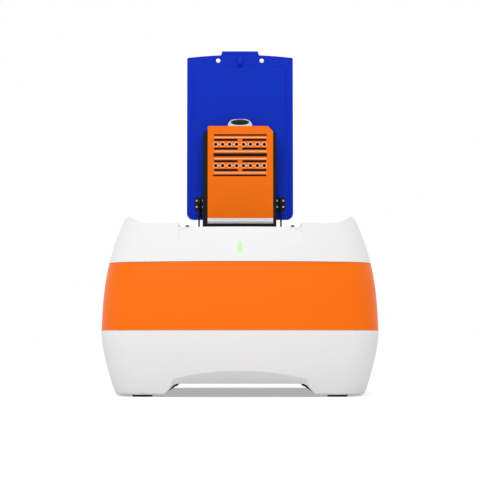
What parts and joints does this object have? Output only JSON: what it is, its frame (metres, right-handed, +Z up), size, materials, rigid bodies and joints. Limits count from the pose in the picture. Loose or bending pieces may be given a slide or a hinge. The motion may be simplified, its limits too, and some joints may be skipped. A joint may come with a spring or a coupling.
{
  "type": "automated elisa analyzer",
  "caption": "Bench immunoassay analyzer with a hinged lid that carries an upright cartridge holder, a reading bay below and a scanning optics stage inside.",
  "frame": {"origin": "middle of the footprint, on the plane that the feet stand on", "axes": "+X to the right seen from the front, the front faces -Y, +Z up"},
  "size_m": [0.34, 0.45, 0.4537],
  "materials": {
    "shell_white": "fine satin texture",
    "band_orange": "smooth satin",
    "lid_blue": "satin",
    "liner_blue": "fine satin",
    "holder_black": "matt black coating",
    "pan_black": "matt black coating",
    "black_plastic": "fine texture",
    "panel_grey": "matt",
    "foot_rubber": "matt",
    "steel": "brushed",
    "bright_steel": "polished",
    "aluminium": "bead blasted",
    "brass": "turned",
    "window_glass": "clear",
    "light_green": "lit diffuser",
    "label_orange": "satin film",
    "cartridge_black": "moulded",
    "cartridge_white": "moulded",
    "seal_grey": "soft",
    "board_green": "solder mask"
  },
  "bodies": {
    "housing": {"upper_cover": "shell_white", "mid_band": "band_orange", "lower_cover": "shell_white", "base_pan": "pan_black", "feet": "foot_rubber", "hinge_cover": "shell_white", "bearing_blocks": "black_plastic", "friction_clutch": "aluminium", "deck_magnets": "bright_steel", "lid_bumpers": "foot_rubber", "lid_switch": "black_plastic", "bay_tub": "black_plastic", "read_window": "window_glass", "status_light": "light_green", "light_board": "board_green", "optics_bench": "aluminium", "guide_rods": "bright_steel", "scan_motor": "black_plastic", "valve_manifold": "aluminium", "valves": "steel", "power_supply": "steel", "air_pump": "black_plastic", "main_board": "board_green", "board_posts": "brass", "rear_panel": "panel_grey", "panel_screws": "bright_steel", "power_inlet": "black_plastic", "inlet_pins": "brass", "switch_frame": "black_plastic", "data_ports": "steel", "fan_frame": "black_plastic"},
    "lid": {"lid_shell": "lid_blue", "lid_liner": "liner_blue", "hinge_arms": "holder_black", "arm_screws": "bright_steel", "lid_catches": "bright_steel", "lid_tongue": "liner_blue", "cartridge_holder": "holder_black", "hinge_shaft": "steel", "lever_pin": "bright_steel"},
    "release_lever": {"release_lever": "steel", "lever_pad": "foot_rubber"},
    "cartridge": {"cartridge_body": "cartridge_black", "cartridge_label": "label_orange", "cartridge_foot": "cartridge_white", "cartridge_seal": "seal_grey"},
    "scan_carriage": {"scan_carriage": "aluminium", "objective": "black_plastic", "objective_lens": "window_glass", "laser_module": "aluminium", "photodetector": "black_plastic"},
    "lead_screw": {"lead_screw": "steel"},
    "power_rocker": {"power_rocker": "black_plastic"},
    "fan_rotor": {"fan_rotor": "black_plastic"}
  },
  "joints": [
    {"name": "lid_swing", "type": "hinge", "parent": "housing", "child": "lid", "pos_m": [0, 0.0465, 0.203], "axis": [1, 0, 0], "range_deg": [0, 90]},
    {"name": "cartridge_slide", "type": "slide", "parent": "lid", "child": "cartridge", "axis": [0, 0, 1], "range_m": [0, 0.26]},
    {"name": "lever_press", "type": "hinge", "parent": "lid", "child": "release_lever", "pos_m": [0, 0.0284, 0.329], "axis": [-1, 0, 0], "range_deg": [0, 9], "stiffness_Nm_per_rad": 0.3, "springref_deg": -8.59},
    {"name": "rocker_tilt", "type": "hinge", "parent": "housing", "child": "power_rocker", "pos_m": [0.061, 0.207, 0.112], "axis": [1, 0, 0], "range_deg": [0, 16]},
    {"name": "scan_travel", "type": "slide", "parent": "housing", "child": "scan_carriage", "axis": [0, 1, 0], "range_m": [-0.028, 0.028]},
    {"name": "screw_spin", "type": "hinge", "parent": "housing", "child": "lead_screw", "pos_m": [0, -0.06, 0.104], "axis": [0, 1, 0], "range_deg": [-1300, 1300]},
    {"name": "fan_spin", "type": "hinge", "parent": "housing", "child": "fan_rotor", "pos_m": [-0.076, 0.2, 0.118], "axis": [0, 1, 0], "continuous": true}
  ],
  "couplings": [
    {"joint": "screw_spin", "follows": "scan_travel", "rad_per_m": 785.4}
  ]
}
